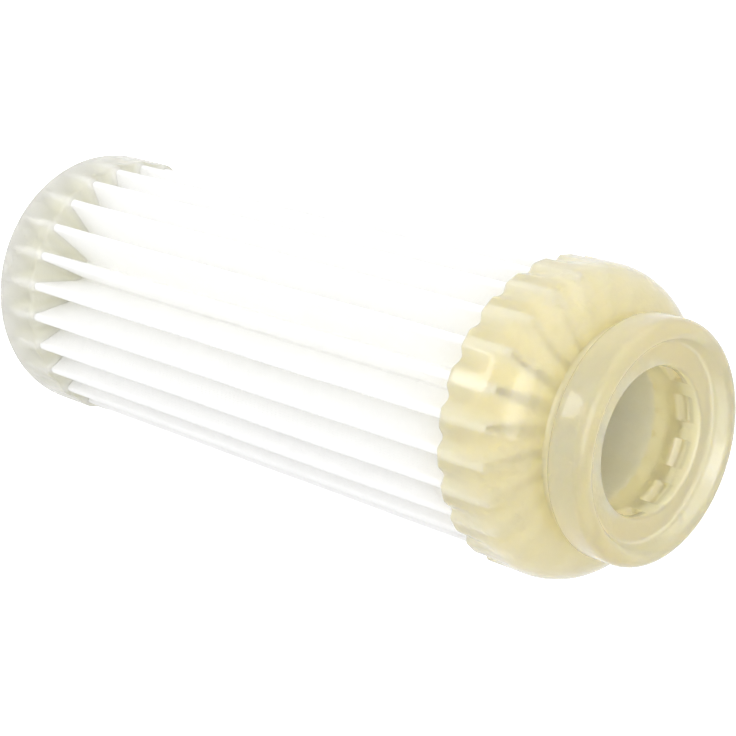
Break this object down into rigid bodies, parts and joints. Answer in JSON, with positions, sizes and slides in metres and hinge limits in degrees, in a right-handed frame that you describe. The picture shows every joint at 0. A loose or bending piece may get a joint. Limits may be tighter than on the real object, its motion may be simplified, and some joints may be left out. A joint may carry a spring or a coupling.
{
  "type": "pleated filter cartridge",
  "caption": "Pleated dust-filter cartridge on a moulded support core, potted in clear amber cast ends, one closed and one with a grooved snap-in neck.",
  "frame": {"origin": "centre of the closed cap's outer face, on the surface the cartridge stands on", "axes": "+Z along the cartridge's axis, towards the open neck; +X through the tip of one pleat"},
  "size_m": [0.1624, 0.1624, 0.446],
  "materials": {
    "cast_resin": "clear pale amber cast polyurethane, smooth, slightly uneven",
    "filter_cloth": "matt white spunbond polyester",
    "core_plastic": "white moulded polypropylene"
  },
  "bodies": {
    "root": {"open_cap": "cast_resin", "closed_cap": "cast_resin", "pleated_sheet": "filter_cloth", "support_core": "core_plastic"}
  },
  "joints": []
}
